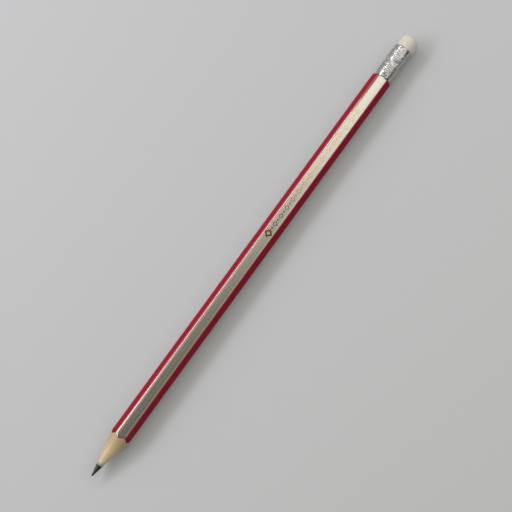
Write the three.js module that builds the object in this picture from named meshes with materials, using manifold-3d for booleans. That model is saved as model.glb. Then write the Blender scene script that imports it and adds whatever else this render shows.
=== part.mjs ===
// A wood-cased pencil with an eraser, lying on one of its six flats.
// Millimetres, +Z up. The point looks along -X and the eraser along +X. The origin is on
// the table, under the middle of the pencil.

import * as THREE from "three";
import { mergeVertices } from "three/addons/utils/BufferGeometryUtils.js";
import Module from "manifold-3d";

const wasm = await Module();
wasm.setup();

// Casing and lacquer
const OVERALL_LENGTH = 190;
const ACROSS_FLATS = 7.2; // over the lacquer
const CORNER_RADIUS = 2.4; // over the lacquer
const LACQUER_THICKNESS = 0.09;
const SILVER_WRAP = 20; // degrees that a silver stripe reaches round the corners beside its flat
const BOND_LINE = 0.03; // glue or primer between two pieces that are stuck together

// Graphite core and sharpened point
const CORE_DIAMETER = 2.3;
const POINT_ANGLE = 24.3; // degrees, over the whole cone
const TIP_DIAMETER = 0.5; // where the cone turns into the worn, rounded nose

// Turned tenon that the ferrule slides onto
const SHOULDER_ANGLE = 45; // degrees, the bevel that the turning leaves on the corners

// Ferrule, a drawn tube: collar, notched rings, crimped waist, notched rings, collar
const FERRULE_DIAMETER = 6.8; // outside, on the plain collars
const FERRULE_WALL = 0.27;
const FERRULE_LIP = 0.12; // the bevel on the edge at either end
const COLLAR_LENGTH = 1.85;
const RING_COUNT = 5; // in each band
const RING_PITCH = 0.72;
const RING_WIDTH = 0.56;
const RING_HEIGHT = 0.14;
const NOTCH_COUNT = 24; // round each ring
const NOTCH_DEPTH = 0.07;
const WAIST_LENGTH = 2.6;
const WAIST_DEPTH = 0.12;
const CRIMP_COUNT = 6;
const CRIMP_DIAMETER = 1.7;
const TENON_FIT = 0.24; // radial room between the tenon and the waist, which the crimps close
const SEAT_GAP = 0.05; // where the ferrule and the eraser butt against the next piece

// Eraser
const ERASER_DIAMETER = 6.6; // of the head that stands out of the ferrule
const ERASER_HEAD_LENGTH = 5.1;
const ERASER_EDGE_RADIUS = 1.3;
const ERASER_NECK_RADIUS = 0.25;

// Facets
const TURNED_SEGMENTS = 60;
const ARC_SEGMENTS = 3;
const RING_SEGMENTS = 3;
const WAIST_SEGMENTS = 8;

// Sizes that follow from those above. Lengths along the pencil run from the tip.
const flatRadius = ACROSS_FLATS / 2;
const casingFlatRadius = flatRadius - LACQUER_THICKNESS - BOND_LINE;
const casingCornerRadius = CORNER_RADIUS - LACQUER_THICKNESS - BOND_LINE;
const coreRadius = CORE_DIAMETER / 2;
const grooveRadius = coreRadius + BOND_LINE;
const tipRadius = TIP_DIAMETER / 2;
const halfPoint = THREE.MathUtils.degToRad(POINT_ANGLE / 2);
const noseRadius = tipRadius / Math.cos(halfPoint);
const coneStart = noseRadius * (1 - Math.sin(halfPoint));
const shoulderSlope = Math.tan(THREE.MathUtils.degToRad(SHOULDER_ANGLE));
const ferruleRadius = FERRULE_DIAMETER / 2;
const boreRadius = ferruleRadius - FERRULE_WALL;
const tenonRadius = boreRadius - WAIST_DEPTH - TENON_FIT;
const shankRadius = boreRadius - BOND_LINE;
const ringBandLength = (RING_COUNT - 1) * RING_PITCH + RING_WIDTH;
const waistStart = COLLAR_LENGTH + ringBandLength; // on the ferrule
const waistEnd = waistStart + WAIST_LENGTH;
const ferruleLength = waistEnd + ringBandLength + COLLAR_LENGTH;
const ferruleEnd = OVERALL_LENGTH - ERASER_HEAD_LENGTH;
const ferruleStart = ferruleEnd - ferruleLength;
const shoulderAt = ferruleStart - SEAT_GAP;
const tenonEnd = ferruleStart + waistEnd;
const eraserStart = tenonEnd + SEAT_GAP;

const material = (color, roughness, metalness) =>
  new THREE.MeshStandardMaterial({ color, roughness, metalness });
const graphite = material(0x2b2b2d, 0.45, 0.35);
const basswood = material(0xdcc49c, 0.75, 0);
const redLacquer = material(0xa81c30, 0.25, 0);
const silverLacquer = material(0xb9b4a8, 0.35, 0.7);
const aluminium = material(0xd5d5d3, 0.25, 1);
const vinyl = material(0xe3dacd, 0.8, 0);

// Boolean work on closed meshes

function toSolid(geometry) {
  const bare = geometry.clone().deleteAttribute("normal").deleteAttribute("uv");
  const merged = mergeVertices(bare);
  return new wasm.Manifold(
    new wasm.Mesh({
      numProp: 3,
      vertProperties: merged.getAttribute("position").array,
      triVerts: new Uint32Array(merged.index.array),
    }),
  );
}

function toGeometry(solid) {
  const mesh = solid.getMesh();
  const geometry = new THREE.BufferGeometry();
  geometry.setAttribute("position", new THREE.BufferAttribute(mesh.vertProperties, 3));
  geometry.setIndex(new THREE.BufferAttribute(mesh.triVerts, 1));
  geometry.computeVertexNormals();
  return geometry;
}

const common = (a, b) => toGeometry(toSolid(a).intersect(toSolid(b)));

// A profile of (radius, length along the pencil) turned about the pencil's axis, which is +Z here.
const turned = (points, segments) =>
  new THREE.LatheGeometry(points, segments).rotateX(Math.PI / 2);

const extruded = (section, length) =>
  new THREE.ExtrudeGeometry(section, {
    depth: length,
    steps: 1,
    bevelEnabled: false,
    curveSegments: ARC_SEGMENTS,
  });

// Hexagonal section

const SIXTH = Math.PI / 3;
const HALF_CORNER = SIXTH / 2;

// Adds a stretch of the rounded corner that points along cornerAngle. From and to are measured
// from that direction.
function addCorner(path, cornerAngle, flats, radius, from, to) {
  const reach = (flats - radius) / Math.cos(HALF_CORNER);
  const x = reach * Math.cos(cornerAngle);
  const y = reach * Math.sin(cornerAngle);
  path.absarc(x, y, radius, cornerAngle + from, cornerAngle + to, to < from);
}

// One of the two slats: the upper half of the hexagon, less half the glue line.
function slatSection() {
  const section = new THREE.Shape();
  const lift = Math.asin(BOND_LINE / 2 / casingCornerRadius);
  const corner = (angle, from, to) =>
    addCorner(section, angle, casingFlatRadius, casingCornerRadius, from, to);
  corner(0, lift, HALF_CORNER);
  corner(SIXTH, -HALF_CORNER, HALF_CORNER);
  corner(2 * SIXTH, -HALF_CORNER, HALF_CORNER);
  corner(Math.PI, -HALF_CORNER, -lift);
  return section;
}

// One lacquered stripe: a flat of the hexagon, with a stretch of the rounded corner at either side.
// Wrap is the angle that the stripe reaches round each corner.
function stripeSection(faceAngle, wrap) {
  const section = new THREE.Shape();
  const innerFlats = flatRadius - LACQUER_THICKNESS;
  const innerRadius = CORNER_RADIUS - LACQUER_THICKNESS;
  const edge = HALF_CORNER - wrap + Math.asin(BOND_LINE / 2 / CORNER_RADIUS);
  const innerEdge = HALF_CORNER - wrap + Math.asin(BOND_LINE / 2 / innerRadius);
  const first = faceAngle - HALF_CORNER;
  const second = faceAngle + HALF_CORNER;
  addCorner(section, first, flatRadius, CORNER_RADIUS, edge, HALF_CORNER);
  addCorner(section, second, flatRadius, CORNER_RADIUS, -HALF_CORNER, -edge);
  addCorner(section, second, innerFlats, innerRadius, -innerEdge, -HALF_CORNER);
  addCorner(section, first, innerFlats, innerRadius, HALF_CORNER, innerEdge);
  return section;
}

// Where the sharpened cone has a given radius.
const sharpenedAt = (radius) => coneStart + (radius - tipRadius) / Math.tan(halfPoint);

// The space that the sharpener leaves at the point, the turning tool at the tenon and the groove
// along the middle.
function turnedBlank() {
  const widest = ACROSS_FLATS;
  const bevelEnd = ferruleRadius;
  const points = [
    new THREE.Vector2(grooveRadius, sharpenedAt(grooveRadius)),
    new THREE.Vector2(widest, sharpenedAt(widest)),
    new THREE.Vector2(widest, shoulderAt - (widest - bevelEnd) / shoulderSlope),
    new THREE.Vector2(bevelEnd, shoulderAt),
    new THREE.Vector2(tenonRadius, shoulderAt),
    new THREE.Vector2(tenonRadius, tenonEnd),
    new THREE.Vector2(grooveRadius, tenonEnd),
    new THREE.Vector2(grooveRadius, sharpenedAt(grooveRadius)),
  ];
  return turned(points, TURNED_SEGMENTS);
}

// Graphite core, with a rounded nose and a cone at the writing end
function coreGeometry() {
  const outline = new THREE.Path();
  outline.absarc(0, noseRadius, noseRadius, -Math.PI / 2, -halfPoint, false);
  outline.lineTo(coreRadius, sharpenedAt(coreRadius));
  outline.lineTo(coreRadius, tenonEnd);
  outline.lineTo(0, tenonEnd);
  return turned(outline.getPoints(ARC_SEGMENTS), TURNED_SEGMENTS);
}

// Ferrule

// Outside of the ferrule from the casing to the eraser, then back along its bore.
function ferruleProfile() {
  const path = new THREE.Path();
  const ringBand = (start) => {
    for (let ring = 0; ring < RING_COUNT; ring++) {
      const foot = start + ring * RING_PITCH;
      path.lineTo(ferruleRadius, foot);
      path.quadraticCurveTo(
        ferruleRadius + 2 * RING_HEIGHT, foot + RING_WIDTH / 2,
        ferruleRadius, foot + RING_WIDTH,
      );
    }
  };
  const waistRow = (radius, row) =>
    path.lineTo(radius - WAIST_DEPTH, waistStart + (WAIST_LENGTH * row) / WAIST_SEGMENTS);

  path.moveTo(boreRadius, 0);
  path.lineTo(ferruleRadius - FERRULE_LIP, 0);
  path.lineTo(ferruleRadius, FERRULE_LIP);
  ringBand(COLLAR_LENGTH);
  for (let row = 1; row < WAIST_SEGMENTS; row++) waistRow(ferruleRadius, row);
  ringBand(waistEnd);
  path.lineTo(ferruleRadius, ferruleLength - FERRULE_LIP);
  path.lineTo(ferruleRadius - FERRULE_LIP, ferruleLength);
  path.lineTo(boreRadius, ferruleLength);
  path.lineTo(boreRadius, waistEnd);
  for (let row = WAIST_SEGMENTS - 1; row > 0; row--) waistRow(boreRadius, row);
  path.lineTo(boreRadius, waistStart);
  path.lineTo(boreRadius, 0);
  return path.getPoints(RING_SEGMENTS);
}

// How far a row of round punches presses the waist in, at a place on it.
function crimpPress(along, angle) {
  const pitch = (2 * Math.PI) / CRIMP_COUNT;
  const aside = (angle - pitch * Math.round(angle / pitch)) * ferruleRadius;
  const distance = Math.hypot(along - (waistStart + waistEnd) / 2, aside) / (CRIMP_DIAMETER / 2);
  const crimpDepth = TENON_FIT - BOND_LINE;
  return distance < 1 ? crimpDepth * (1 - distance ** 2) : 0;
}

// How far the notches cut into the crest of a ring.
function notchPress(radius, angle) {
  if (radius <= ferruleRadius + RING_HEIGHT / 2) return 0;
  return (NOTCH_DEPTH * (1 - Math.cos(NOTCH_COUNT * angle))) / 2;
}

function ferruleGeometry() {
  const geometry = turned(ferruleProfile(), 2 * NOTCH_COUNT);
  const vertices = geometry.getAttribute("position");
  const point = new THREE.Vector3();
  for (let i = 0; i < vertices.count; i++) {
    point.fromBufferAttribute(vertices, i);
    const radius = Math.hypot(point.x, point.y);
    const angle = Math.atan2(point.x, point.y);
    const scale = 1 - (notchPress(radius, angle) + crimpPress(point.z, angle)) / radius;
    vertices.setXY(i, point.x * scale, point.y * scale);
  }
  return geometry.translate(0, 0, ferruleStart);
}

// Eraser: a shank inside the ferrule and a rounded head outside it
function eraserGeometry() {
  const headRadius = ERASER_DIAMETER / 2;
  const headStart = ferruleEnd + SEAT_GAP;
  const outline = new THREE.Path();
  outline.moveTo(0, eraserStart);
  outline.lineTo(shankRadius, eraserStart);
  outline.lineTo(shankRadius, headStart);
  outline.lineTo(headRadius - ERASER_NECK_RADIUS, headStart);
  outline.absarc(
    headRadius - ERASER_NECK_RADIUS, headStart + ERASER_NECK_RADIUS,
    ERASER_NECK_RADIUS, -Math.PI / 2, 0, false,
  );
  outline.absarc(
    headRadius - ERASER_EDGE_RADIUS, OVERALL_LENGTH - ERASER_EDGE_RADIUS,
    ERASER_EDGE_RADIUS, 0, Math.PI / 2, false,
  );
  outline.lineTo(0, OVERALL_LENGTH);
  return turned(outline.getPoints(ARC_SEGMENTS), TURNED_SEGMENTS);
}

// Assembly, built standing on its point and then laid down along X

const pencil = new THREE.Group();

function addPiece(name, geometry, surface, turn = 0) {
  const piece = new THREE.Mesh(geometry, surface);
  piece.name = name;
  piece.rotation.z = turn;
  pencil.add(piece);
}

const blank = turnedBlank();
const slat = common(extruded(slatSection(), tenonEnd), blank);
addPiece("graphite_core", coreGeometry(), graphite);
addPiece("upper_slat", slat, basswood);
addPiece("lower_slat", slat, basswood, Math.PI);

const silverWrap = THREE.MathUtils.degToRad(SILVER_WRAP);
const redWrap = SIXTH - silverWrap;
const stripes = [
  ["red_stripe_left", redLacquer, redWrap],
  ["silver_stripe_top", silverLacquer, silverWrap],
  ["red_stripe_right", redLacquer, redWrap],
  ["silver_stripe_lower_right", silverLacquer, silverWrap],
  ["red_stripe_bottom", redLacquer, redWrap],
  ["silver_stripe_lower_left", silverLacquer, silverWrap],
];
stripes.forEach(([name, lacquer, wrap], face) => {
  const section = stripeSection(HALF_CORNER + face * SIXTH, wrap);
  addPiece(name, common(extruded(section, shoulderAt), blank), lacquer);
});

addPiece("ferrule", ferruleGeometry(), aluminium);
addPiece("eraser", eraserGeometry(), vinyl);

pencil.rotation.set(Math.PI / 2, Math.PI / 2, 0);
pencil.position.set(-OVERALL_LENGTH / 2, 0, flatRadius);

const lying = new THREE.Group();
lying.add(pencil);

export default lying;
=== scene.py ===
"""Dresses the solids of a striped wood-cased pencil: its point, casing, lacquer, ferrule and eraser.

Every piece is made about the pencil's own axis, along X, and is then lifted to lie on its flat.
"""

import math

import bmesh
import bpy
from bpy.props import FloatProperty, FloatVectorProperty, IntProperty, PointerProperty
from mathutils import Matrix, Vector, noise


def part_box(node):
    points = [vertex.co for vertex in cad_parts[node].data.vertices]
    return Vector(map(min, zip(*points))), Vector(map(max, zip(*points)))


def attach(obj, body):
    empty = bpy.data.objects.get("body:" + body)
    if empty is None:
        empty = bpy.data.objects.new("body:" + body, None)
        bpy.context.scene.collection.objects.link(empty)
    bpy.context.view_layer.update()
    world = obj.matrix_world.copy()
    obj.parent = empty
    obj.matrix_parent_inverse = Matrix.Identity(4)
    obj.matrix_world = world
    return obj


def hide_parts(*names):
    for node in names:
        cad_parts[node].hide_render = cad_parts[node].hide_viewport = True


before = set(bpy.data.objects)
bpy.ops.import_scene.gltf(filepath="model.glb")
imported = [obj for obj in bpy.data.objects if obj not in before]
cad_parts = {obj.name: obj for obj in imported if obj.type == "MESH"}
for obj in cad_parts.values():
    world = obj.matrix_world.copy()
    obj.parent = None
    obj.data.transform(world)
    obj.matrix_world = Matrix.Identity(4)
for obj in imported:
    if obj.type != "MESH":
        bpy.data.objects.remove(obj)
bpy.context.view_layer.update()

bl_info = {
    "name": "Striped pencil with eraser",
    "version": (1, 0, 0),
    "blender": (4, 5, 0),
    "location": "3D View > Sidebar > Pencil",
    "description": "Point, casing, lacquer, ferrule, eraser and stage of a striped pencil",
    "category": "Object",
}

MM = 0.001
BODY = "root"

# Places and sizes that the solids give
CORE_LOW, CORE_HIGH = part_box("graphite_core")
TOP_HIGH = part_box("silver_stripe_top")[1]
FERRULE_LOW, FERRULE_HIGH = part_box("ferrule")
ERASER_LOW, ERASER_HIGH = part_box("eraser")
AXIS_Z = (CORE_LOW.z + CORE_HIGH.z) / 2
CORE_RADIUS = (CORE_HIGH.z - CORE_LOW.z) / 2
FLAT_RADIUS = TOP_HIGH.z - AXIS_Z
TIP_X = CORE_LOW.x
TENON_END_X = CORE_HIGH.x
SHOULDER_X = TOP_HIGH.x
ERASER_END_X = ERASER_HIGH.x
HEAD_RADIUS = (ERASER_HIGH.z - ERASER_LOW.z) / 2
FERRULE_MIDDLE_X = (FERRULE_LOW.x + FERRULE_HIGH.x) / 2

# Small gaps, and how close two places are that count as one
CORE_GAP = 0.004 * MM
BORE_GAP = 0.03 * MM
HEAD_GAP = 0.05 * MM
SHANK_GAP = 0.02 * MM
FLOOR_GAP = 0.01 * MM
SAME_POINT = 0.0005 * MM
SAME_PLANE = 0.001 * MM
SAME_ANGLE = math.radians(0.01)

# The six flats, from the upper left one round over the top: node, and whether it is silver
STRIPES = (
    ("red_stripe_left", False),
    ("silver_stripe_top", True),
    ("red_stripe_right", False),
    ("silver_stripe_lower_right", True),
    ("red_stripe_bottom", False),
    ("silver_stripe_lower_left", True),
)
TOP_STRIPE = 1

# The six-sided section: a sixth of a turn from flat to flat, and the corners that its width leaves
HALF_WIDTH = max(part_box(node)[1].y for node, _ in STRIPES)
SIXTH = math.pi / 3
HALF_CORNER = SIXTH / 2
CORNER_REACH = 1 / math.cos(HALF_CORNER)
CORNER_RADIUS = (FLAT_RADIUS * CORNER_REACH - HALF_WIDTH) / (CORNER_REACH - 1)
UP = math.pi / 2

# Steps of the round meshes, and the angle past which an edge looks sharp
TURNED_STEPS = 96
STEPS_PER_NOTCH = 12
NOSE_STEPS = 8
COLLAR_STEPS = 14
RING_STEPS = 8
WAIST_STEPS = 24
LIP_STEPS = 4
NECK_STEPS = 6
HEAD_STEPS = 14
CREASE = math.radians(9)

# The ragged cut edge: waves round the cone, how much of the ripple each makes, and where it starts
CUT_WAVES = ((7, 1, 1), (17, 0.6, 0), (31, 0.4, 2))

# A stripe's straying border: length of a radian of a wave, how much of the stray the wave makes,
# and by how much it is out of step from one border to the next
BORDER_WAVES = ((26 * MM, 0.7, 1.9), (7 * MM, 0.3, 5.7))


# Settings


def length(name, description, millimetres):
    size = millimetres * MM
    return FloatProperty(name=name, description=description, default=size, precision=6, unit="LENGTH")


def angle(name, description, degrees):
    turn = math.radians(degrees)
    return FloatProperty(name=name, description=description, default=turn, subtype="ANGLE")


def colour(name, description, value):
    return FloatVectorProperty(
        name=name,
        description=description,
        default=value,
        min=0,
        max=1,
        subtype="COLOR",
    )


def power(name, description, watts):
    return FloatProperty(name=name, description=description, default=watts, unit="POWER")


def share(name, description, value):
    return FloatProperty(name=name, description=description, default=value, min=0, subtype="FACTOR")


def place(name, description, millimetres):
    return FloatVectorProperty(
        name=name,
        description=description,
        default=[value * MM for value in millimetres],
        subtype="TRANSLATION",
        unit="LENGTH",
    )


class PencilPoint(bpy.types.PropertyGroup):
    """Sharpened point and graphite core."""

    cone: angle("Cone", "Angle over the whole sharpened cone", 23.6)
    tip: length("Tip", "Diameter where the cone turns into the worn nose", 0.5)
    ripple: length("Ripple", "How far the cut edges of the wood and lacquer wander", 0.04)
    graphite: colour("Graphite", "Colour of the core", (0.004, 0.004, 0.005))


class PencilCasing(bpy.types.PropertyGroup):
    """Wooden casing and its lacquer."""

    corner: length("Corner", "Radius of the rounded corners over the lacquer", CORNER_RADIUS / MM)
    lacquer: length("Lacquer", "Thickness of the lacquer film", 0.09)
    glue: length("Glue line", "Width of the seam between the two slats", 0.02)
    bevel: length("Shoulder rounding", "Rounding where a flat turns into the shoulder", 0.04)
    silver_wrap: angle("Silver wrap", "How far a silver stripe reaches round a corner", 21.5)
    twist: angle("Twist", "How far all the stripes are turned from the corners", 7.5)
    wander: angle("Wander", "How far a stripe's border strays round the corner", 1.6)
    wood: colour("Wood", "Colour of the bare wood", (0.565, 0.43, 0.27))
    grain: colour("Grain", "Colour of the darker grain", (0.46, 0.32, 0.165))
    undercoat: colour("Undercoat", "Colour of the primer under the lacquer", (0.42, 0.38, 0.30))
    red: colour("Red", "Colour of the red stripes", (0.25, 0.001, 0.014))
    silver: colour("Silver", "Colour of the silver stripes", (0.57, 0.52, 0.48))


class PencilFoil(bpy.types.PropertyGroup):
    """Foil ornament on the upper flat: one large lozenge and a chain of small ones."""

    start: length("Start", "Middle of the large lozenge, from the middle of the pencil", 7.6)
    end: length("End", "End of the chain, from the middle of the pencil", 63.0)
    lozenge: length("Lozenge", "Length of the large lozenge", 3.3)
    link: length("Link", "Length of a link of the chain", 2.3)
    bead: length("Bead", "Length of the bead between two links", 0.9)
    gap: length("Gap", "Clear space between a link and a bead", 0.16)
    stroke: length("Stroke", "Thickness of a link's outline", 0.40)
    film: length("Film", "How far the foil stands on the lacquer", 0.008)
    gold: colour("Gold", "Colour of the chain's foil", (0.50, 0.37, 0.13))
    bronze: colour("Bronze", "Colour of the large lozenge", (0.10, 0.042, 0.016))


class PencilFerrule(bpy.types.PropertyGroup):
    """Drawn tube that holds the eraser."""

    radius: length("Radius", "Outer radius of the plain collars", 3.4)
    wall: length("Wall", "Thickness of the tube", 0.27)
    lip: length("Lip", "Rounding of the edge at either end", 0.12)
    collar: length("Collar", "Length of the plain collar at either end", 1.85)
    flare: length("Flare", "How far each collar opens towards the eraser", 0.16)
    ring_count: IntProperty(name="Rings", description="Rings in each band", default=5, min=1)
    ring_pitch: length("Ring pitch", "From one ring to the next", 0.72)
    ring_width: length("Ring width", "Width of a ring at its foot", 0.56)
    ring_height: length("Ring height", "How far a ring stands out", 0.12)
    notch_count: IntProperty(name="Notches", description="Notches round a ring", default=24, min=3)
    notch_depth: length("Notch depth", "How deep the notches are", 0.09)
    patch: length("Patch", "About how large the patches of crushed rings are", 1.3)
    crush: share("Crush", "How much of its height a ring loses in a crushed patch", 0.7)
    dent_size: length("Dent size", "About how large the dents from handling are", 0.9)
    dent_depth: length("Dent depth", "How deep the dents from handling are at most", 0.09)
    waist_depth: length("Waist depth", "How far the waist is drawn in", 0.12)
    crimp_count: IntProperty(name="Crimps", description="Punch marks round the waist", default=6, min=1)
    crimp_width: length("Crimp width", "Diameter of a punch mark", 1.7)
    crimp_depth: length("Crimp depth", "Depth of a punch mark", 0.21)
    crimp_turn: angle("Crimp turn", "How far the punch marks are turned from the top", 16)
    metal: colour("Metal", "Colour of the bare metal", (0.70, 0.685, 0.71))


class PencilEraser(bpy.types.PropertyGroup):
    """Vinyl plug in the ferrule."""

    edge: length("Edge", "Rounding of the free end", 1.3)
    neck: length("Neck", "Rounding where the head leaves the ferrule", 0.3)
    lean: angle("Lean", "How far the head leans out of line", 2.0)
    slip: length("Slip", "How far the head sits to one side of the ferrule", 0.27)
    vinyl: colour("Vinyl", "Colour of the eraser", (0.59, 0.545, 0.495))


class PencilStage(bpy.types.PropertyGroup):
    """Camera, light and floor."""

    azimuth: angle("Azimuth", "Where the camera stands round the pencil", -54.04)
    elevation: angle("Elevation", "How high the camera stands", 83.0)
    distance: length("Distance", "From the camera to what it looks at", 377.3)
    aim: place("Aim", "What the camera looks at, from the middle of the axis", (-1.03, -0.97, 0))
    lens: FloatProperty(name="Lens", description="Focal length of the camera", default=76, unit="CAMERA")
    floor_radius: length("Floor radius", "How far the paper reaches all round", 5000)
    floor: colour("Floor", "Colour of the paper under the pencil", (0.505, 0.505, 0.545))
    room: colour("Room", "Colour of the light from above", (0.99, 1.0, 0.80))
    walls: colour("Walls", "Colour of the light from low down all round", (0.92, 0.92, 0.94))
    wall_light: share("Wall light", "Strength of the light from low down all round", 0.5)
    room_bright: share("Bright side", "Strength of the room's light side", 0.85)
    room_dark: share("Dark side", "Strength of the room's dark side", 0.37)
    room_overhead: share("Overhead", "How much of the room's light is left about the camera", 0.15)
    room_flag: share("Flag", "How much of the room's light is left where a dark flag stands", 0.1)
    window_tint: colour("Window tint", "Colour of the two side lights", (0.95, 0.93, 1.0))
    window: power("Window", "Power of the large side light", 2.1)
    window_length: length("Window length", "Length of the large side light", 500)
    window_height: length("Window height", "Height of the large side light", 260)
    window_place: place("Window place", "Middle of the large side light", (-350, 508, 440))
    strip: power("Strip", "Power of the narrow side light", 1.03)
    strip_length: length("Strip length", "Length of the narrow side light", 405)
    strip_height: length("Strip height", "Height of the narrow side light", 110)
    strip_place: place("Strip place", "Middle of the narrow side light", (42, 508, 440))
    ceiling: power("Ceiling", "Power of the top light", 4.2)
    ceiling_length: length("Ceiling length", "Length of the top light", 950)
    ceiling_width: length("Ceiling width", "Width of the top light", 1300)
    ceiling_place: place("Ceiling place", "Middle of the top light", (640, -230, 800))


# Modelling


def radius_of(point):
    return math.hypot(point.y, point.z)


def turn_of(point):
    """Angle round the axis, from +Y towards +Z."""
    return math.atan2(point.z, point.y)


def smooth_step(value):
    held = max(0, min(1, value))
    return held * held * (3 - 2 * held)


def arc(centre_x, centre_radius, size, start, end, steps):
    """Profile points (x, radius) along an arc. Angles run from +X towards growing radius."""
    turns = [start + (end - start) * step / steps for step in range(steps + 1)]
    return [(centre_x + size * math.cos(t), centre_radius + size * math.sin(t)) for t in turns]


def face_outwards(bm):
    bmesh.ops.recalc_face_normals(bm, faces=bm.faces)


def turned(profile, steps):
    """A profile of (x, radius) points spun once round the axis."""
    bm = bmesh.new()
    verts = [bm.verts.new((x, 0, radius)) for x, radius in profile]
    edges = [bm.edges.new(pair) for pair in zip(verts, verts[1:])]
    row = verts + edges
    bmesh.ops.spin(bm, geom=row, axis=(1, 0, 0), angle=math.tau, steps=steps, use_merge=True)
    bmesh.ops.remove_doubles(bm, verts=bm.verts, dist=SAME_POINT)
    face_outwards(bm)
    return bm


def bevel(bm, geometry, affect, size, segments):
    """Rounds the corners or the edges of a mesh."""
    bmesh.ops.bevel(
        bm,
        geom=geometry,
        offset=size,
        affect=affect,
        segments=segments,
        profile=0.5,
        material=-1,
    )


def hexagon(flats, corner, flat_cuts, corner_segments):
    """The outline of a rounded hexagon that lies across the axis on a flat."""
    bm = bmesh.new()
    across = Matrix(((0, 0, 1, 0), (1, 0, 0, 0), (0, 1, 0, 0), (0, 0, 0, 1)))
    on_flat = across @ Matrix.Rotation(HALF_CORNER, 4, "Z")
    tip_radius = flats * CORNER_REACH
    bmesh.ops.create_circle(bm, cap_ends=True, segments=6, radius=tip_radius, matrix=on_flat)
    bevel(bm, bm.verts[:], "VERTICES", corner * math.tan(HALF_CORNER), corner_segments)
    centre_radius = (flats - corner) * CORNER_REACH
    for vert in bm.verts:
        direction = round(turn_of(vert.co) / SIXTH) * SIXTH
        centre = centre_radius * Vector((0, math.cos(direction), math.sin(direction)))
        vert.co = centre + corner * (vert.co - centre).normalized()
    longest = max(edge.calc_length() for edge in bm.edges)
    flat_edges = [edge for edge in bm.edges if edge.calc_length() > longest / 2]
    bmesh.ops.subdivide_edges(bm, edges=flat_edges, cuts=flat_cuts)
    bmesh.ops.delete(bm, geom=bm.faces[:], context="FACES_ONLY")
    return bm


def hexagon_row(flats, corner, middle, reach, flat_cuts, corner_segments):
    """The part of a rounded hexagon's outline within a reach of an angle, and its edges."""
    bm = hexagon(flats, corner, flat_cuts, corner_segments)
    limit = reach + SAME_ANGLE

    def aside(vert):
        return abs((turn_of(vert.co) - middle + math.pi) % math.tau - math.pi)

    outside = [vert for vert in bm.verts if aside(vert) > limit]
    bmesh.ops.delete(bm, geom=outside, context="VERTS")
    return bm, bm.edges[:]


def grow(bm, edges, place_of):
    """Extrudes a row of edges and puts each new vertex where place_of says. Gives the new row."""
    made = bmesh.ops.extrude_edge_only(bm, edges=edges)["geom"]
    verts = {item for item in made if isinstance(item, bmesh.types.BMVert)}
    for vert in verts:
        vert.co = place_of(vert.co)
    made_edges = [item for item in made if isinstance(item, bmesh.types.BMEdge)]
    return [edge for edge in made_edges if verts.issuperset(edge.verts)]


def at_radius(x, radius):
    """A place on a circle round the axis, straight in or out from where a point is."""

    def place_of(point):
        scale = radius / radius_of(point)
        return Vector((x, point.y * scale, point.z * scale))

    return place_of


def add_piece(bm, name, finishes, node, crease=CREASE):
    """Turns a mesh made about the axis into a piece that lies on the floor and may stand for a node."""
    bmesh.ops.translate(bm, verts=bm.verts, vec=(0, 0, AXIS_Z))
    mesh = bpy.data.meshes.new(name)
    bm.to_mesh(mesh)
    bm.free()
    for finish in finishes:
        mesh.materials.append(finish)
    mesh.shade_smooth()
    mesh.set_sharp_from_angle(angle=crease)
    piece = bpy.data.objects.new(name, mesh)
    bpy.context.scene.collection.objects.link(piece)
    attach(piece, BODY)
    if node:
        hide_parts(node)


def nose_radius(point):
    """Radius of the ball that the cone runs into at the tip."""
    return point.tip / 2 / math.cos(point.cone / 2)


def cone_apex_x(point):
    """Where the cone would end in a sharp point, ahead of the worn nose."""
    nose = nose_radius(point)
    return TIP_X + nose - nose / math.sin(point.cone / 2)


def cut_x(point, radius, turn):
    """Where the sharpened cone cuts a given radius. The cut edge strays a little round the cone."""
    stray = sum(part * math.sin(waves * turn + start) for waves, part, start in CUT_WAVES)
    outwards = radius / FLAT_RADIUS
    return cone_apex_x(point) + radius / math.tan(point.cone / 2) + point.ripple * stray * outwards


# Shading


class Socket:
    """A node's output that can be used in sums."""

    def __init__(self, nodes, output):
        self.nodes = nodes
        self.output = output

    def sum(self, operation, first, second):
        return self.nodes.node("Math", {"operation": operation}, {0: first, 1: second})

    def __add__(self, other):
        return self.sum("ADD", self, other)

    __radd__ = __add__

    def __sub__(self, other):
        return self.sum("SUBTRACT", self, other)

    def __rsub__(self, other):
        return self.sum("SUBTRACT", other, self)

    def __mul__(self, other):
        return self.sum("MULTIPLY", self, other)

    __rmul__ = __mul__

    def __truediv__(self, other):
        return self.sum("DIVIDE", self, other)

    def __rtruediv__(self, other):
        return self.sum("DIVIDE", other, self)

    def __pow__(self, other):
        return self.sum("POWER", self, other)

    def __rpow__(self, other):
        return self.sum("POWER", other, self)


class Nodes:
    """The nodes of a material or of the room."""

    def __init__(self, tree):
        self.tree = tree

    def node(self, kind, settings=None, inputs=None, output=0):
        """Adds a node: its type, its settings, and the values or links of its sockets."""
        node = self.tree.nodes.new("ShaderNode" + kind)
        for key, value in (settings or {}).items():
            setattr(node, key, value)
        for key, value in (inputs or {}).items():
            self.put(node.inputs[key], value)
        return Socket(self, node.outputs[output])

    def put(self, socket, value):
        if isinstance(value, Socket):
            self.tree.links.new(value.output, socket)
        else:
            socket.default_value = value

    def parts(self, vector):
        node = self.node("SeparateXYZ", inputs={0: vector}).output.node
        return [Socket(self, output) for output in node.outputs]

    def between(self, value, low, high, start=0, end=1):
        """Value mapped smoothly from low and high to start and end, and held there outside them."""
        inputs = {"Value": value, 1: low, 2: high, 3: start, 4: end}
        return self.node("MapRange", {"interpolation_type": "SMOOTHSTEP"}, inputs)

    def mix(self, factor, first, second):
        opaque = [value if isinstance(value, Socket) else (*value, 1) for value in (first, second)]
        inputs = {0: factor, 6: opaque[0], 7: opaque[1]}
        return self.node("Mix", {"data_type": "RGBA"}, inputs, output=2)


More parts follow.
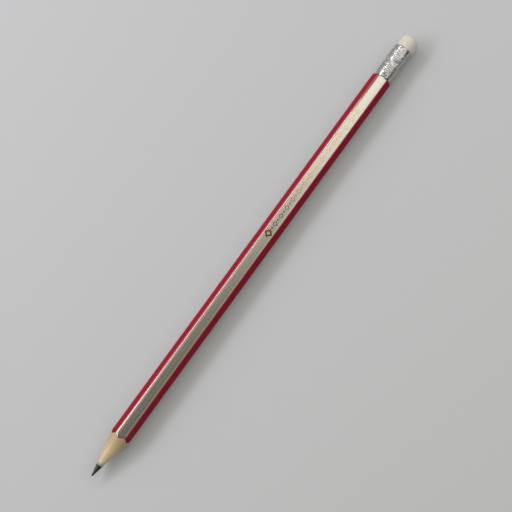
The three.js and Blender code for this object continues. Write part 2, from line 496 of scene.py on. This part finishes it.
class Finish(Nodes):
    """A material under way, with places in millimetres about the pencil's axis."""

    def __init__(self, name):
        self.material = bpy.data.materials.new(name)
        self.material.use_nodes = True
        super().__init__(self.material.node_tree)
        self.shader = self.tree.nodes["Principled BSDF"]

    def surface(self, **inputs):
        """Sets the shader's inputs, named in small letters with underscores, and gives the material."""
        sockets = {socket.name.lower().replace(" ", "_"): socket for socket in self.shader.inputs}
        for key, value in inputs.items():
            self.put(sockets[key], value)
        return self.material

    def place(self, along=1, across=1):
        """Places in millimetres from the middle of the axis, squeezed along the pencil and across it."""
        coordinates = self.node("TexCoord", output="Object")
        inputs = {
            "Vector": coordinates,
            "Location": (0, 0, -AXIS_Z / MM * across),
            "Scale": (along / MM, across / MM, across / MM),
        }
        return self.node("Mapping", inputs=inputs)

    def from_axis(self):
        """How many millimetres along the axis a place is, and how many from it."""
        x, y, z = self.parts(self.place())
        return x, (y * y + z * z) ** 0.5

    def noise(self, along=1, across=1, detail=3, roughness=0.5):
        """Noise with about so many lumps to the millimetre, along the pencil and across it."""
        vector = self.place(along, across)
        inputs = {"Vector": vector, "Scale": 1, "Detail": detail, "Roughness": roughness}
        return self.node("TexNoise", inputs=inputs)

    def vary(self, value, pattern, low, high):
        """A colour that turns from darker to lighter with a pattern."""
        return self.mix(pattern, shade(value, low), shade(value, high))

    def bump(self, height, distance):
        """A relief of so many millimetres."""
        inputs = {"Height": height, "Distance": distance * MM, "Strength": 1}
        return self.node("Bump", inputs=inputs)


def shade(value, factor):
    """A colour made lighter or darker."""
    return tuple(channel * factor for channel in value)


def behind_cut(finish, point):
    """How many millimetres behind the sharpener's cone a place is."""
    x, radius = finish.from_axis()
    return x - radius / math.tan(point.cone / 2) - cone_apex_x(point) / MM


def cut_edge_shade(finish, point):
    """Painted shade along the lacquer's cut edge: the film is darkened just behind it."""
    reach, strength = 0.7, 0.7
    ragged = behind_cut(finish, point) + 0.5 * (finish.noise(2, 3) - 0.5)
    return finish.between(ragged, 0, reach, strength, 0)


def borders(finish):
    """Where the red lies beside the silver, on corners that hands have polished."""
    polished, dull = math.radians(31), math.radians(42)
    y, z = finish.parts(finish.place())[1:]
    turn = finish.node("Math", {"operation": "ARCTAN2"}, {0: y, 1: z})
    from_silver = finish.node("Math", {"operation": "PINGPONG"}, {0: turn, 1: SIXTH})
    return finish.between(from_silver, polished, dull, 1, 0)


def red_lacquer_finish(casing, point):
    """Even red film, scuffed along its length, with a bright coat only at its borders."""
    finish = Finish("red lacquer")
    drag = finish.noise(0.04, 5, detail=4)
    peel = finish.noise(1.6, 1.6, detail=2)
    scuff = finish.between(finish.noise(0.5, 9, detail=6), 0.62, 0.72)
    tone = finish.vary(casing.red, drag, 0.9, 1.1)
    # The red is darkened with painted shade just behind its cut edge.
    tone = finish.mix(cut_edge_shade(finish, point), tone, shade(casing.red, 0.3))
    return finish.surface(
        base_color=tone,
        roughness=0.24 + 0.10 * drag + 0.12 * scuff,
        specular_ior_level=0.07,
        coat_weight=borders(finish) * (1 - 0.4 * scuff),
        coat_roughness=0.10,
        coat_ior=2.1,
        normal=finish.bump(0.5 * drag + peel, 0.006),
    )


def silver_lacquer_finish(casing, point):
    """Metal flakes in a film that was drawn on lengthways."""
    finish = Finish("silver lacquer")
    drag = finish.noise(0.04, 6, detail=4)
    flake = finish.noise(22, 22, detail=1)
    peel = finish.noise(1.6, 1.6, detail=2)
    tone = finish.vary(casing.silver, flake, 0.94, 1.06)
    # The silver is darkened with painted shade just behind its cut edge.
    tone = finish.mix(cut_edge_shade(finish, point), tone, shade(casing.silver, 0.3))
    return finish.surface(
        base_color=tone,
        metallic=0.92,
        roughness=0.16 + 0.10 * drag + 0.08 * flake,
        normal=finish.bump(drag + peel + 0.06 * flake, 0.002),
    )


def undercoat_finish(casing):
    """Chalky primer that the sharpener lays bare."""
    finish = Finish("undercoat")
    chalk = finish.noise(9, 9)
    tone = finish.vary(casing.undercoat, chalk, 0.75, 1)
    return finish.surface(base_color=tone, roughness=0.8, normal=finish.bump(chalk, 0.01))


def wood_finish(casing, point, name, lean):
    """Pale straight-grained wood with the marks of the sharpener round the cone."""
    finish = Finish(name)
    year_layer, dust_reach, smudge_reach, outer_darkening_from = 0.9, 2.3, 0.35, 2.0
    graphite_dust = (0.49, 0.46, 0.40)
    y, z = finish.parts(finish.place())[1:]
    warp = finish.noise(0.05, 0.4, detail=2)
    layer_place = y * math.cos(lean) + z * math.sin(lean) + 1.6 * warp
    layer_turn = layer_place * (math.tau / year_layer)
    layers = finish.node("Math", {"operation": "SINE"}, {0: layer_turn}) * 0.5 + 0.5
    fibre = finish.noise(0.22, 7, detail=5, roughness=0.6)
    pores = finish.between(finish.noise(0.9, 16, detail=2), 0.60, 0.70)
    blade = finish.noise(7, 0.35)
    radius = finish.from_axis()[1]
    smudge_edge = radius + 0.8 * (0.5 - finish.noise(0.6, 2.2, detail=4))
    core = CORE_RADIUS / MM
    smudge = finish.between(smudge_edge, core, core + smudge_reach, 0.5, 0)
    grain = finish.between(0.3 * layers + 0.7 * fibre, 0.30, 0.85)
    # The wood is darker towards the lacquer, from this radius outwards to the cut edge.
    outer_darkening = finish.between(radius, outer_darkening_from, FLAT_RADIUS / MM, 0, 0.6)
    dusted = finish.between(radius, core, dust_reach, 0.7, 0)
    tone = finish.mix(0.7 * grain, casing.wood, casing.grain)
    tone = finish.mix(dusted, tone, graphite_dust)
    tone = finish.mix(outer_darkening, tone, shade(casing.grain, 0.7))
    tone = finish.mix(0.25 * pores, tone, shade(casing.grain, 0.5))
    tone = finish.mix(smudge, tone, shade(point.graphite, 5))
    return finish.surface(
        base_color=tone,
        roughness=0.42 + 0.12 * fibre,
        specular_ior_level=0.5,
        normal=finish.bump(0.6 * fibre + 0.8 * blade - 0.5 * pores, 0.014),
    )


def graphite_finish(point):
    """Dark core with a shine and fine turned lines."""
    finish = Finish("graphite")
    lines = finish.noise(11, 0.4)
    speck = finish.noise(14, 14)
    tone = finish.vary(point.graphite, speck, 0.7, 1.6)
    return finish.surface(
        base_color=tone,
        roughness=0.26 + 0.14 * speck,
        specular_ior_level=0.55,
        normal=finish.bump(lines + 0.4 * speck, 0.012),
    )


def bronze_finish(foil):
    """Dark ink of the large lozenge."""
    finish = Finish("bronze ink")
    worn = finish.noise(5, 5, detail=4)
    tone = finish.vary(foil.bronze, worn, 0.7, 1.3)
    return finish.surface(base_color=tone, roughness=0.4, specular_ior_level=0.2)


def foil_finish(foil):
    """Thin bright gold, worn in spots."""
    finish = Finish("foil")
    worn = finish.noise(5, 5, detail=4)
    tone = finish.vary(foil.gold, worn, 0.7, 1.2)
    return finish.surface(
        base_color=tone,
        metallic=1.0,
        roughness=0.06 + 0.08 * worn,
        normal=finish.bump(worn, 0.004),
    )


def aluminium_finish(ferrule):
    """Drawn metal with painted shade between its rings, darker plain collars and waist, matt at its waist,
    and waves that break up reflections.
    """
    finish = Finish("drawn aluminium")
    drawn = finish.noise(0.5, 12, detail=4)
    wave = finish.noise(0.95, 1.2, detail=3)
    dull = finish.noise(1.2, 1.2)
    waist_end, band_start, matt_core, matt_edge = 1.2, 1.5, 0.9, 1.4
    band_end = (FERRULE_HIGH.x - ferrule.collar - FERRULE_MIDDLE_X) / MM
    band_fade = 0.1
    foot = ferrule.radius / MM
    crest = (ferrule.radius + ferrule.ring_height) / MM
    x, radius = finish.from_axis()
    off_middle = ((x - FERRULE_MIDDLE_X / MM) ** 2) ** 0.5
    past_waist = finish.between(off_middle, waist_end, band_start)
    before_collar = finish.between(off_middle, band_end - band_fade, band_end + band_fade, 1, 0)
    band = past_waist * before_collar
    # Painted shade: the metal is darkened low between the rings, where shade falls.
    groove = band * finish.between(radius, foot, crest, 1, 0)
    waist = finish.between(off_middle, matt_core, matt_edge, 1, 0)
    tone = finish.vary(ferrule.metal, dull, 0.82, 1.05)
    # Painted shade between the rings; the plain collars and the waist are also made darker.
    tone = finish.mix(0.4 * groove + 0.36 * (1 - band), tone, shade(ferrule.metal, 0.2))
    return finish.surface(
        base_color=tone,
        metallic=1.0,
        roughness=0.09 + 0.09 * dull + 0.05 * drawn + 0.22 * waist,
        normal=finish.bump(0.2 * drawn + wave, 0.035),
    )


def vinyl_finish(eraser):
    """Soft white plastic with a slight bloom and a fine skin."""
    finish = Finish("vinyl")
    bloom = finish.noise(0.7, 0.7)
    skin = finish.noise(9, 9, detail=4)
    tone = finish.vary(eraser.vinyl, bloom, 0.95, 1.04)
    return finish.surface(
        base_color=tone,
        roughness=0.55 + 0.15 * skin,
        specular_ior_level=0.35,
        subsurface_weight=0.1,
        subsurface_radius=(0.8 * MM, 0.6 * MM, 0.45 * MM),
        normal=finish.bump(skin, 0.012),
    )


def paper_finish(stage):
    """Plain pale paper with a trace of fibre."""
    finish = Finish("paper")
    fibre = finish.noise(2.5, 2.5, detail=4)
    tone = finish.vary(stage.floor, fibre, 0.985, 1.015)
    return finish.surface(base_color=tone, roughness=0.9, specular_ior_level=0.2)


# Pieces


class OBJECT_OT_pencil_core(bpy.types.Operator):
    """Make the graphite core with its sharpened point"""

    bl_idname = "object.pencil_core"
    bl_label = "Graphite core"

    def execute(self, context):
        point = context.scene.pencil_point
        nose = nose_radius(point)
        cone_end = cone_apex_x(point) + CORE_RADIUS / math.tan(point.cone / 2)
        profile = arc(TIP_X + nose, 0, nose, math.pi, UP + point.cone / 2, NOSE_STEPS)
        profile += [(cone_end, CORE_RADIUS), (TENON_END_X, CORE_RADIUS), (TENON_END_X, 0)]
        bm = turned(profile, TURNED_STEPS)
        add_piece(bm, "graphite_point", [graphite_finish(point)], "graphite_core")
        return {"FINISHED"}


class OBJECT_OT_pencil_slats(bpy.types.Operator):
    """Make the two grooved slats, sharpened at one end and turned to a tenon at the other"""

    bl_idname = "object.pencil_slats"
    bl_label = "Slats"

    def slat(self, scene):
        """The upper slat, grown from the edge of its cone to the groove and back to the tenon."""
        point = scene.pencil_point
        casing = scene.pencil_casing
        ferrule = scene.pencil_ferrule
        under_film = casing.lacquer + scene.pencil_foil.film
        groove = CORE_RADIUS + CORE_GAP
        tenon = ferrule.radius - ferrule.wall - ferrule.waist_depth - ferrule.crimp_depth - BORE_GAP
        shoulder_x = SHOULDER_X - casing.lacquer
        shoulder = ferrule.radius - casing.lacquer
        flats = FLAT_RADIUS - under_film
        corner = casing.corner - casing.lacquer
        bm, row = hexagon_row(flats, corner, UP, UP, flat_cuts=23, corner_segments=12)

        def on_cone(co):
            return Vector((cut_x(point, radius_of(co), turn_of(co)), co.y, co.z))

        def on_bevel(co):
            return Vector((shoulder_x - (radius_of(co) - shoulder), co.y, co.z))

        for vert in bm.verts:
            vert.co = on_cone(vert.co)
        feather = grow(bm, row, lambda co: on_cone(at_radius(0, groove)(co)))
        groove_end = grow(bm, feather, lambda co: Vector((TENON_END_X, co.y, co.z)))
        rear = grow(bm, row, on_bevel)
        rear = grow(bm, rear, at_radius(shoulder_x, shoulder))
        rear = grow(bm, rear, at_radius(shoulder_x, tenon))
        rear = grow(bm, rear, at_radius(TENON_END_X, tenon))
        bmesh.ops.bridge_loops(bm, edges=rear + groove_end)
        open_edges = [edge for edge in bm.edges if edge.is_boundary]
        bmesh.ops.holes_fill(bm, edges=open_edges, sides=0)
        face_outwards(bm)
        bmesh.ops.translate(bm, verts=bm.verts, vec=(0, 0, casing.glue / 2))
        return bm

    def execute(self, context):
        scene = context.scene
        upper_grain, lower_grain = math.radians(20), math.radians(75)
        for side, turn, grain in (("upper", 0, upper_grain), ("lower", math.pi, lower_grain)):
            finish = wood_finish(scene.pencil_casing, scene.pencil_point, side + " wood", grain)
            bm = self.slat(scene)
            bmesh.ops.rotate(bm, verts=bm.verts, matrix=Matrix.Rotation(turn, 3, "X"))
            add_piece(bm, f"casing_{side}_slat", [finish], f"{side}_slat")
        return {"FINISHED"}


class OBJECT_OT_pencil_stripes(bpy.types.Operator):
    """Make the six lacquered stripes, cut by the sharpener and drawn over the shoulder"""

    bl_idname = "object.pencil_stripes"
    bl_label = "Lacquer stripes"

    def border_stray(self, casing, border, x):
        """How far a border of two stripes lies from the middle of its corner, at a place along it."""
        before_silver = 1 if STRIPES[border][1] else -1
        shift = before_silver * (HALF_CORNER - casing.silver_wrap)
        stray = sum(part * math.sin(x / size + step * border) for size, part, step in BORDER_WAVES)
        return shift + casing.twist + casing.wander * stray

    def stripe(self, scene, index):
        """One stripe, made as the top one, then given its own edges and turned to its flat."""
        point = scene.pencil_point
        casing = scene.pencil_casing
        ferrule = scene.pencil_ferrule
        flats = FLAT_RADIUS - scene.pencil_foil.film
        turn = (index - TOP_STRIPE) * SIXTH
        bm, row = hexagon_row(flats, casing.corner, UP, HALF_CORNER, flat_cuts=15, corner_segments=16)
        lengthways_cuts = 47
        front_x = cut_x(point, flats - casing.lacquer, UP) - 2 * point.ripple
        for vert in bm.verts:
            vert.co.x = front_x

        def on_bevel(co):
            return Vector((SHOULDER_X - (radius_of(co) - ferrule.radius), co.y, co.z))

        rear = grow(bm, row, on_bevel)
        lengthways = [edge for edge in bm.edges if edge not in row and edge not in rear]
        bmesh.ops.subdivide_edges(bm, edges=lengthways, cuts=lengthways_cuts, use_grid_fill=True)
        rim = grow(bm, rear, at_radius(SHOULDER_X, ferrule.radius))
        grow(bm, rim, at_radius(SHOULDER_X, ferrule.radius - 2 * ferrule.lip))
        face_outwards(bm)
        bevel(bm, rear + rim, "EDGES", casing.bevel, segments=2)
        bmesh.ops.solidify(bm, geom=bm.faces[:], thickness=casing.lacquer)
        face_outwards(bm)
        self.cut_front(bm, point, casing, flats, front_x, turn)
        self.stray_borders(bm, casing, flats, index)
        bmesh.ops.rotate(bm, verts=bm.verts, matrix=Matrix.Rotation(turn, 3, "X"))
        return bm

    def corner_place(self, casing, flats, co):
        """How far round its corner a place is, how far from the corner's centre, and that centre."""
        centre_y = (flats - casing.corner) * math.tan(HALF_CORNER)
        centre_z = flats - casing.corner
        aside = max(0, abs(co.y) - centre_y)
        above = co.z - centre_z
        return math.atan2(aside, above), math.hypot(aside, above), centre_y, centre_z

    def cut_front(self, bm, point, casing, flats, front_x, turn):
        """Cuts the film's front edge to the cone, with the undercoat showing on its inner third."""
        through_rise, primer_depth = 0.02 * MM, 0.6 * casing.lacquer

        def in_front(vert):
            return abs(vert.co.x - front_x) < SAME_PLANE

        rim = [face for face in bm.faces if all(in_front(vert) for vert in face.verts)]
        rim_edges = dict.fromkeys(edge for face in rim for edge in face.edges)
        through = [
            edge
            for edge in rim_edges
            if abs(radius_of(edge.verts[0].co) - radius_of(edge.verts[1].co)) > through_rise
        ]
        bmesh.ops.subdivide_edges(bm, edges=through, cuts=2, use_grid_fill=True)
        for face in bm.faces:
            if all(in_front(vert) for vert in face.verts):
                reach = self.corner_place(casing, flats, face.calc_center_median())[1]
                face.material_index = 1 if casing.corner - reach > primer_depth else 0
        for vert in bm.verts:
            if in_front(vert):
                vert.co.x = cut_x(point, radius_of(vert.co), turn_of(vert.co) + turn)

    def stray_borders(self, bm, casing, flats, index):
        """Moves the stripe's two long borders round their corners, by as much as its neighbours' move."""
        for vert in bm.verts:
            bend, reach, centre_y, centre_z = self.corner_place(casing, flats, vert.co)
            if not bend:
                continue
            side = 1 if vert.co.y < 0 else -1
            border = (index + 1) % len(STRIPES) if side > 0 else index
            bend *= 1 + side * self.border_stray(casing, border, vert.co.x) / HALF_CORNER
            vert.co.y = -side * (centre_y + reach * math.sin(bend))
            vert.co.z = centre_z + reach * math.cos(bend)

    def execute(self, context):
        casing = context.scene.pencil_casing
        point = context.scene.pencil_point
        red = red_lacquer_finish(casing, point)
        silver = silver_lacquer_finish(casing, point)
        undercoat = undercoat_finish(casing)
        for index, (node, is_silver) in enumerate(STRIPES):
            film = silver if is_silver else red
            name = node.replace("_stripe", "_lacquer")
            add_piece(self.stripe(context.scene, index), name, [film, undercoat], node)
        return {"FINISHED"}


class OBJECT_OT_pencil_foil(bpy.types.Operator):
    """Make the foil ornament: a lozenge, then a chain of links and beads"""

    bl_idname = "object.pencil_foil"
    bl_label = "Foil ornament"

    def lozenge(self, bm, foil, x, size_x, size_y, stroke=0):
        """A lozenge laid on the upper flat, solid or as an outline of a given stroke."""
        under_foil = FLAT_RADIUS - foil.film
        made = bmesh.ops.create_circle(bm, cap_ends=True, segments=4, radius=0.5)["verts"]
        bmesh.ops.scale(bm, verts=made, vec=(size_x, size_y, 1))
        bmesh.ops.translate(bm, verts=made, vec=(x, 0, under_foil))
        if stroke:
            middle = made[0].link_faces[:]
            bmesh.ops.inset_individual(bm, faces=middle, thickness=stroke)
            bmesh.ops.delete(bm, geom=middle, context="FACES")

    def execute(self, context):
        foil = context.scene.pencil_foil
        bm = bmesh.new()
        link_height = 0.8 * foil.link
        lozenge_height = 0.95 * foil.lozenge
        lozenge_stroke = 2.1 * foil.stroke
        self.lozenge(bm, foil, foil.start, foil.lozenge, lozenge_height, lozenge_stroke)
        for face in bm.faces:
            face.material_index = 1
        x = foil.start + foil.lozenge / 2 + foil.gap
        while x + foil.bead + 2 * foil.gap + foil.link < foil.end:
            self.lozenge(bm, foil, x + foil.bead / 2, foil.bead, foil.bead)
            x += foil.bead + foil.gap
            self.lozenge(bm, foil, x + foil.link / 2, foil.link, link_height, foil.stroke)
            x += foil.link + foil.gap
        face_outwards(bm)
        for face in bm.faces:
            if face.normal.z < 0:
                face.normal_flip()
        bmesh.ops.solidify(bm, geom=bm.faces[:], thickness=-foil.film)
        face_outwards(bm)
        add_piece(bm, "foil_ornament", [foil_finish(foil), bronze_finish(foil)], None)
        return {"FINISHED"}


class OBJECT_OT_pencil_ferrule(bpy.types.Operator):
    """Make the ferrule with its notched rings and crimped waist"""

    bl_idname = "object.pencil_ferrule"
    bl_label = "Ferrule"

    def bands(self, ferrule):
        """Where the two bands of rings start, and how long a band is."""
        band = (ferrule.ring_count - 1) * ferrule.ring_pitch + ferrule.ring_width
        return FERRULE_LOW.x + ferrule.collar, FERRULE_HIGH.x - ferrule.collar - band, band

    def collar(self, ferrule, start, end):
        """Points along a collar that opens a little towards the eraser, close enough to show dents."""
        points = []
        for step in range(1, COLLAR_STEPS):
            along = step / COLLAR_STEPS
            points.append((start + along * (end - start), ferrule.radius - ferrule.flare * (1 - along)))
        return points

    def rings(self, ferrule, band_start):
        """Points over the low round rings of one band."""
        half, height = ferrule.ring_width / 2, ferrule.ring_height
        size = (half * half + height * height) / (2 * height)
        reach = math.asin(half / size)
        points = []
        for ring in range(ferrule.ring_count):
            middle = band_start + half + ring * ferrule.ring_pitch
            centre_radius = ferrule.radius + height - size
            points += arc(middle, centre_radius, size, UP + reach, UP - reach, RING_STEPS)
        return points

    def waist(self, ferrule, rim, start, end):
        """The drawn-in waist between the bands, on the outside or in the bore."""
        points = []
        for step in range(1, WAIST_STEPS):
            along = step / WAIST_STEPS
            depth = smooth_step(2 * min(along, 1 - along))
            points.append((start + along * (end - start), rim - ferrule.waist_depth * depth))
        return points

    def profile(self, ferrule):
        """The tube's outline: along the outside to the eraser's end, and back along the bore."""
        start, end = FERRULE_LOW.x, FERRULE_HIGH.x
        radius, lip = ferrule.radius, ferrule.lip
        bore = radius - ferrule.wall
        first_band, second_band, band = self.bands(ferrule)
        waist_start = first_band + band
        outside = arc(start + lip, radius - ferrule.flare - lip, lip, math.pi, UP, LIP_STEPS)
        outside += self.collar(ferrule, start + lip, first_band)
        outside += self.rings(ferrule, first_band)
        outside += self.waist(ferrule, radius, waist_start, second_band)
        outside += self.rings(ferrule, second_band)
        outside += self.collar(ferrule, second_band + band, end - lip)
        outside += arc(end - lip, radius - lip, lip, UP, 0, LIP_STEPS)
        bore_waist = self.waist(ferrule, bore, waist_start, second_band)
        inside = [(end, bore), (second_band, bore), *reversed(bore_waist), (waist_start, bore)]
        inside += [(first_band, bore), (start, bore - ferrule.flare)]
        return outside + inside + outside[:1]

    def press(self, ferrule, co):
        """How far the notching wheel, wear and the punches press the tube in at a place."""
        turn = turn_of(co) - UP
        first_band, second_band, band = self.bands(ferrule)
        band_start = first_band if co.x < (first_band + band + second_band) / 2 else second_band
        ring = round((co.x - band_start - ferrule.ring_width / 2) / ferrule.ring_pitch)
        crest = max(0, radius_of(co) - ferrule.radius) / ferrule.ring_height
        wheel = ferrule.notch_count * turn + math.pi * (ring % 2)
        notch = ferrule.notch_depth * (0.5 - 0.5 * math.cos(wheel))
        contrast, bias = 2.2, 0.4
        crushed = smooth_step(noise.noise(co / ferrule.patch) * contrast + bias)
        flattened = notch + crushed * (ferrule.crush * ferrule.ring_height - notch)
        pitch = math.tau / ferrule.crimp_count
        aside = (turn - ferrule.crimp_turn + pitch / 2) % pitch - pitch / 2
        off_middle = math.hypot(co.x - FERRULE_MIDDLE_X, aside * ferrule.radius)
        distance = off_middle / (ferrule.crimp_width / 2)
        crimp = ferrule.crimp_depth * (1 - min(1, distance) ** 2) ** 1.5
        dent = ferrule.dent_depth * (0.5 + 0.5 * noise.noise(co / ferrule.dent_size))
        return crest * flattened + min(crimp + dent, ferrule.crimp_depth)

    def execute(self, context):
        ferrule = context.scene.pencil_ferrule
        bm = turned(self.profile(ferrule), STEPS_PER_NOTCH * ferrule.notch_count)
        for vert in bm.verts:
            scale = 1 - self.press(ferrule, vert.co) / radius_of(vert.co)
            vert.co.y *= scale
            vert.co.z *= scale
        finish = aluminium_finish(ferrule)
        add_piece(bm, "ferrule_tube", [finish], "ferrule", crease=math.radians(40))
        return {"FINISHED"}


class OBJECT_OT_pencil_eraser(bpy.types.Operator):
    """Make the eraser, a little out of line in its ferrule"""

    bl_idname = "object.pencil_eraser"
    bl_label = "Eraser"

    def execute(self, context):
        eraser = context.scene.pencil_eraser
        ferrule = context.scene.pencil_ferrule
        shank = ferrule.radius - ferrule.wall - ferrule.dent_depth - BORE_GAP
        mouth = FERRULE_HIGH.x + HEAD_GAP
        shank_end = mouth - SHANK_GAP
        neck, edge = eraser.neck, eraser.edge
        profile = [(ERASER_LOW.x, 0), (ERASER_LOW.x, shank), (shank_end, shank)]
        profile += arc(mouth + neck, HEAD_RADIUS - neck, neck, math.pi, UP, NECK_STEPS)
        end = ERASER_END_X - (HEAD_RADIUS - edge) * math.sin(eraser.lean)
        profile += arc(end - edge, HEAD_RADIUS - edge, edge, UP, 0, HEAD_STEPS)
        profile += [(end, 0)]
        bm = turned(profile, TURNED_STEPS)
        head = [vert for vert in bm.verts if vert.co.x > mouth - SHANK_GAP / 2]
        lean = Matrix.Rotation(-eraser.lean, 3, "Z")
        bmesh.ops.rotate(bm, verts=head, cent=(mouth, 0, 0), matrix=lean)
        bmesh.ops.translate(bm, verts=head, vec=(0, -eraser.slip, 0))
        finish = vinyl_finish(eraser)
        add_piece(bm, "eraser_plug", [finish], "eraser", crease=math.radians(50))
        return {"FINISHED"}


class SCENE_OT_pencil_stage(bpy.types.Operator):
    """Set up the floor, the light and the camera"""

    bl_idname = "scene.pencil_stage"
    bl_label = "Stage"

    def floor(self, scene, stage):
        """A wide sheet of paper just under the pencil."""
        bm = bmesh.new()
        bmesh.ops.create_circle(bm, cap_ends=True, segments=TURNED_STEPS, radius=stage.floor_radius)
        bmesh.ops.translate(bm, verts=bm.verts, vec=(0, 0, -FLOOR_GAP))
        mesh = bpy.data.meshes.new("floor")
        bm.to_mesh(mesh)
        bm.free()
        mesh.materials.append(paper_finish(stage))
        floor = bpy.data.objects.new("floor", mesh)
        scene.collection.objects.link(floor)

    def lamp(self, scene, name, watts, tint, size, location, facing):
        """A flat rectangular light that looks in a given direction."""
        light = bpy.data.lights.new(name, "AREA")
        light.shape = "RECTANGLE"
        light.size, light.size_y = size
        light.energy = watts
        light.color = tint
        lamp = bpy.data.objects.new(name, light)
        lamp.location = location
        lamp.rotation_euler = Vector(facing).to_track_quat("-Z", "Y").to_euler()
        scene.collection.objects.link(lamp)

    def room(self, scene, stage):
        """Light from all round: more from the window's side, less from about the camera and a flag.

        Its numbers are parts along X, Y and Z of a direction of length one, from the pencil outwards.
        """
        side_reach = 0.7
        overhead_x, overhead_y_weight = -0.13, 0.4
        overhead_core, overhead_edge = 0.1, 0.56
        flag_x, flag_core_square, flag_edge_square = 0.22, 0.05, 0.2
        flag_core_y, flag_edge_y = -0.93, -0.83
        wall_foot, wall_top = 0.05, 0.35
        world = bpy.data.worlds.new("room")
        world.use_nodes = True
        nodes = Nodes(world.node_tree)
        direction = nodes.node("TexCoord", output="Generated")
        x, y, z = nodes.parts(direction)
        side = nodes.between(y, -side_reach, side_reach, stage.room_dark, stage.room_bright)
        off_camera = ((x - overhead_x) ** 2 + overhead_y_weight * y ** 2) ** 0.5
        overhead = nodes.between(off_camera, overhead_core, overhead_edge, stage.room_overhead, 1)
        flag_side = nodes.between(y, flag_core_y, flag_edge_y, 1, 0)
        flag_reach = nodes.between((x - flag_x) ** 2, flag_core_square, flag_edge_square, 1, 0)
        flag = 1 - (1 - stage.room_flag) * flag_side * flag_reach
        above_walls = nodes.between(z, wall_foot, wall_top)
        background = world.node_tree.nodes["Background"]
        nodes.put(background.inputs["Color"], nodes.mix(above_walls, stage.walls, stage.room))
        from_above = side * overhead * flag
        strength = stage.wall_light + above_walls * (from_above - stage.wall_light)
        nodes.put(background.inputs["Strength"], strength)
        scene.world = world

    def camera(self, scene, stage):
        """The photograph's camera, from its angles and distance."""
        full_frame_width = 36
        data = bpy.data.cameras.new("camera")
        data.sensor_width = full_frame_width
        data.lens = stage.lens
        data.clip_start = 10 * MM
        camera = bpy.data.objects.new("camera", data)
        level = math.cos(stage.elevation)
        back_x = math.sin(stage.azimuth) * level
        back_y = -math.cos(stage.azimuth) * level
        back = Vector((back_x, back_y, math.sin(stage.elevation)))
        camera.location = Vector(stage.aim) + Vector((0, 0, AXIS_Z)) + back * stage.distance
        camera.rotation_euler = (-back).to_track_quat("-Z", "Y").to_euler()
        scene.collection.objects.link(camera)
        scene.camera = camera

    def execute(self, context):
        scene = context.scene
        stage = scene.pencil_stage
        self.floor(scene, stage)
        self.room(scene, stage)
        tint = stage.window_tint
        window_size = (stage.window_length, stage.window_height)
        window_place = Vector(stage.window_place)
        self.lamp(scene, "window", stage.window, tint, window_size, window_place, -window_place)
        strip_size = (stage.strip_length, stage.strip_height)
        strip_place = Vector(stage.strip_place)
        self.lamp(scene, "strip", stage.strip, tint, strip_size, strip_place, -strip_place)
        ceiling_size = (stage.ceiling_length, stage.ceiling_width)
        down = (0, 0, -1)
        self.lamp(scene, "ceiling", stage.ceiling, (1, 1, 1), ceiling_size, stage.ceiling_place, down)
        scene.view_settings.view_transform = "Standard"
        self.camera(scene, stage)
        return {"FINISHED"}


class VIEW3D_PT_pencil(bpy.types.Panel):
    """Lists the pencil's settings and the pieces to make"""

    bl_idname = "VIEW3D_PT_pencil"
    bl_label = "Pencil"
    bl_space_type = "VIEW_3D"
    bl_region_type = "UI"
    bl_category = "Pencil"

    def draw(self, context):
        for operator in OPERATORS:
            self.layout.operator(operator.bl_idname)
        for name, group in SETTINGS.items():
            box = self.layout.box()
            for key in group.__annotations__:
                box.prop(getattr(context.scene, name), key)


SETTINGS = {
    "pencil_point": PencilPoint,
    "pencil_casing": PencilCasing,
    "pencil_foil": PencilFoil,
    "pencil_ferrule": PencilFerrule,
    "pencil_eraser": PencilEraser,
    "pencil_stage": PencilStage,
}
OPERATORS = (
    SCENE_OT_pencil_stage,
    OBJECT_OT_pencil_core,
    OBJECT_OT_pencil_slats,
    OBJECT_OT_pencil_stripes,
    OBJECT_OT_pencil_foil,
    OBJECT_OT_pencil_ferrule,
    OBJECT_OT_pencil_eraser,
)
CLASSES = (*SETTINGS.values(), *OPERATORS, VIEW3D_PT_pencil)


def register():
    for cls in CLASSES:
        bpy.utils.register_class(cls)
    for name, group in SETTINGS.items():
        setattr(bpy.types.Scene, name, PointerProperty(type=group))


def unregister():
    for name in SETTINGS:
        delattr(bpy.types.Scene, name)
    for cls in reversed(CLASSES):
        bpy.utils.unregister_class(cls)


def main():
    register()
    bpy.ops.scene.pencil_stage()
    bpy.ops.object.pencil_core()
    bpy.ops.object.pencil_slats()
    bpy.ops.object.pencil_stripes()
    bpy.ops.object.pencil_foil()
    bpy.ops.object.pencil_ferrule()
    bpy.ops.object.pencil_eraser()


if __name__ == "__main__":
    main()
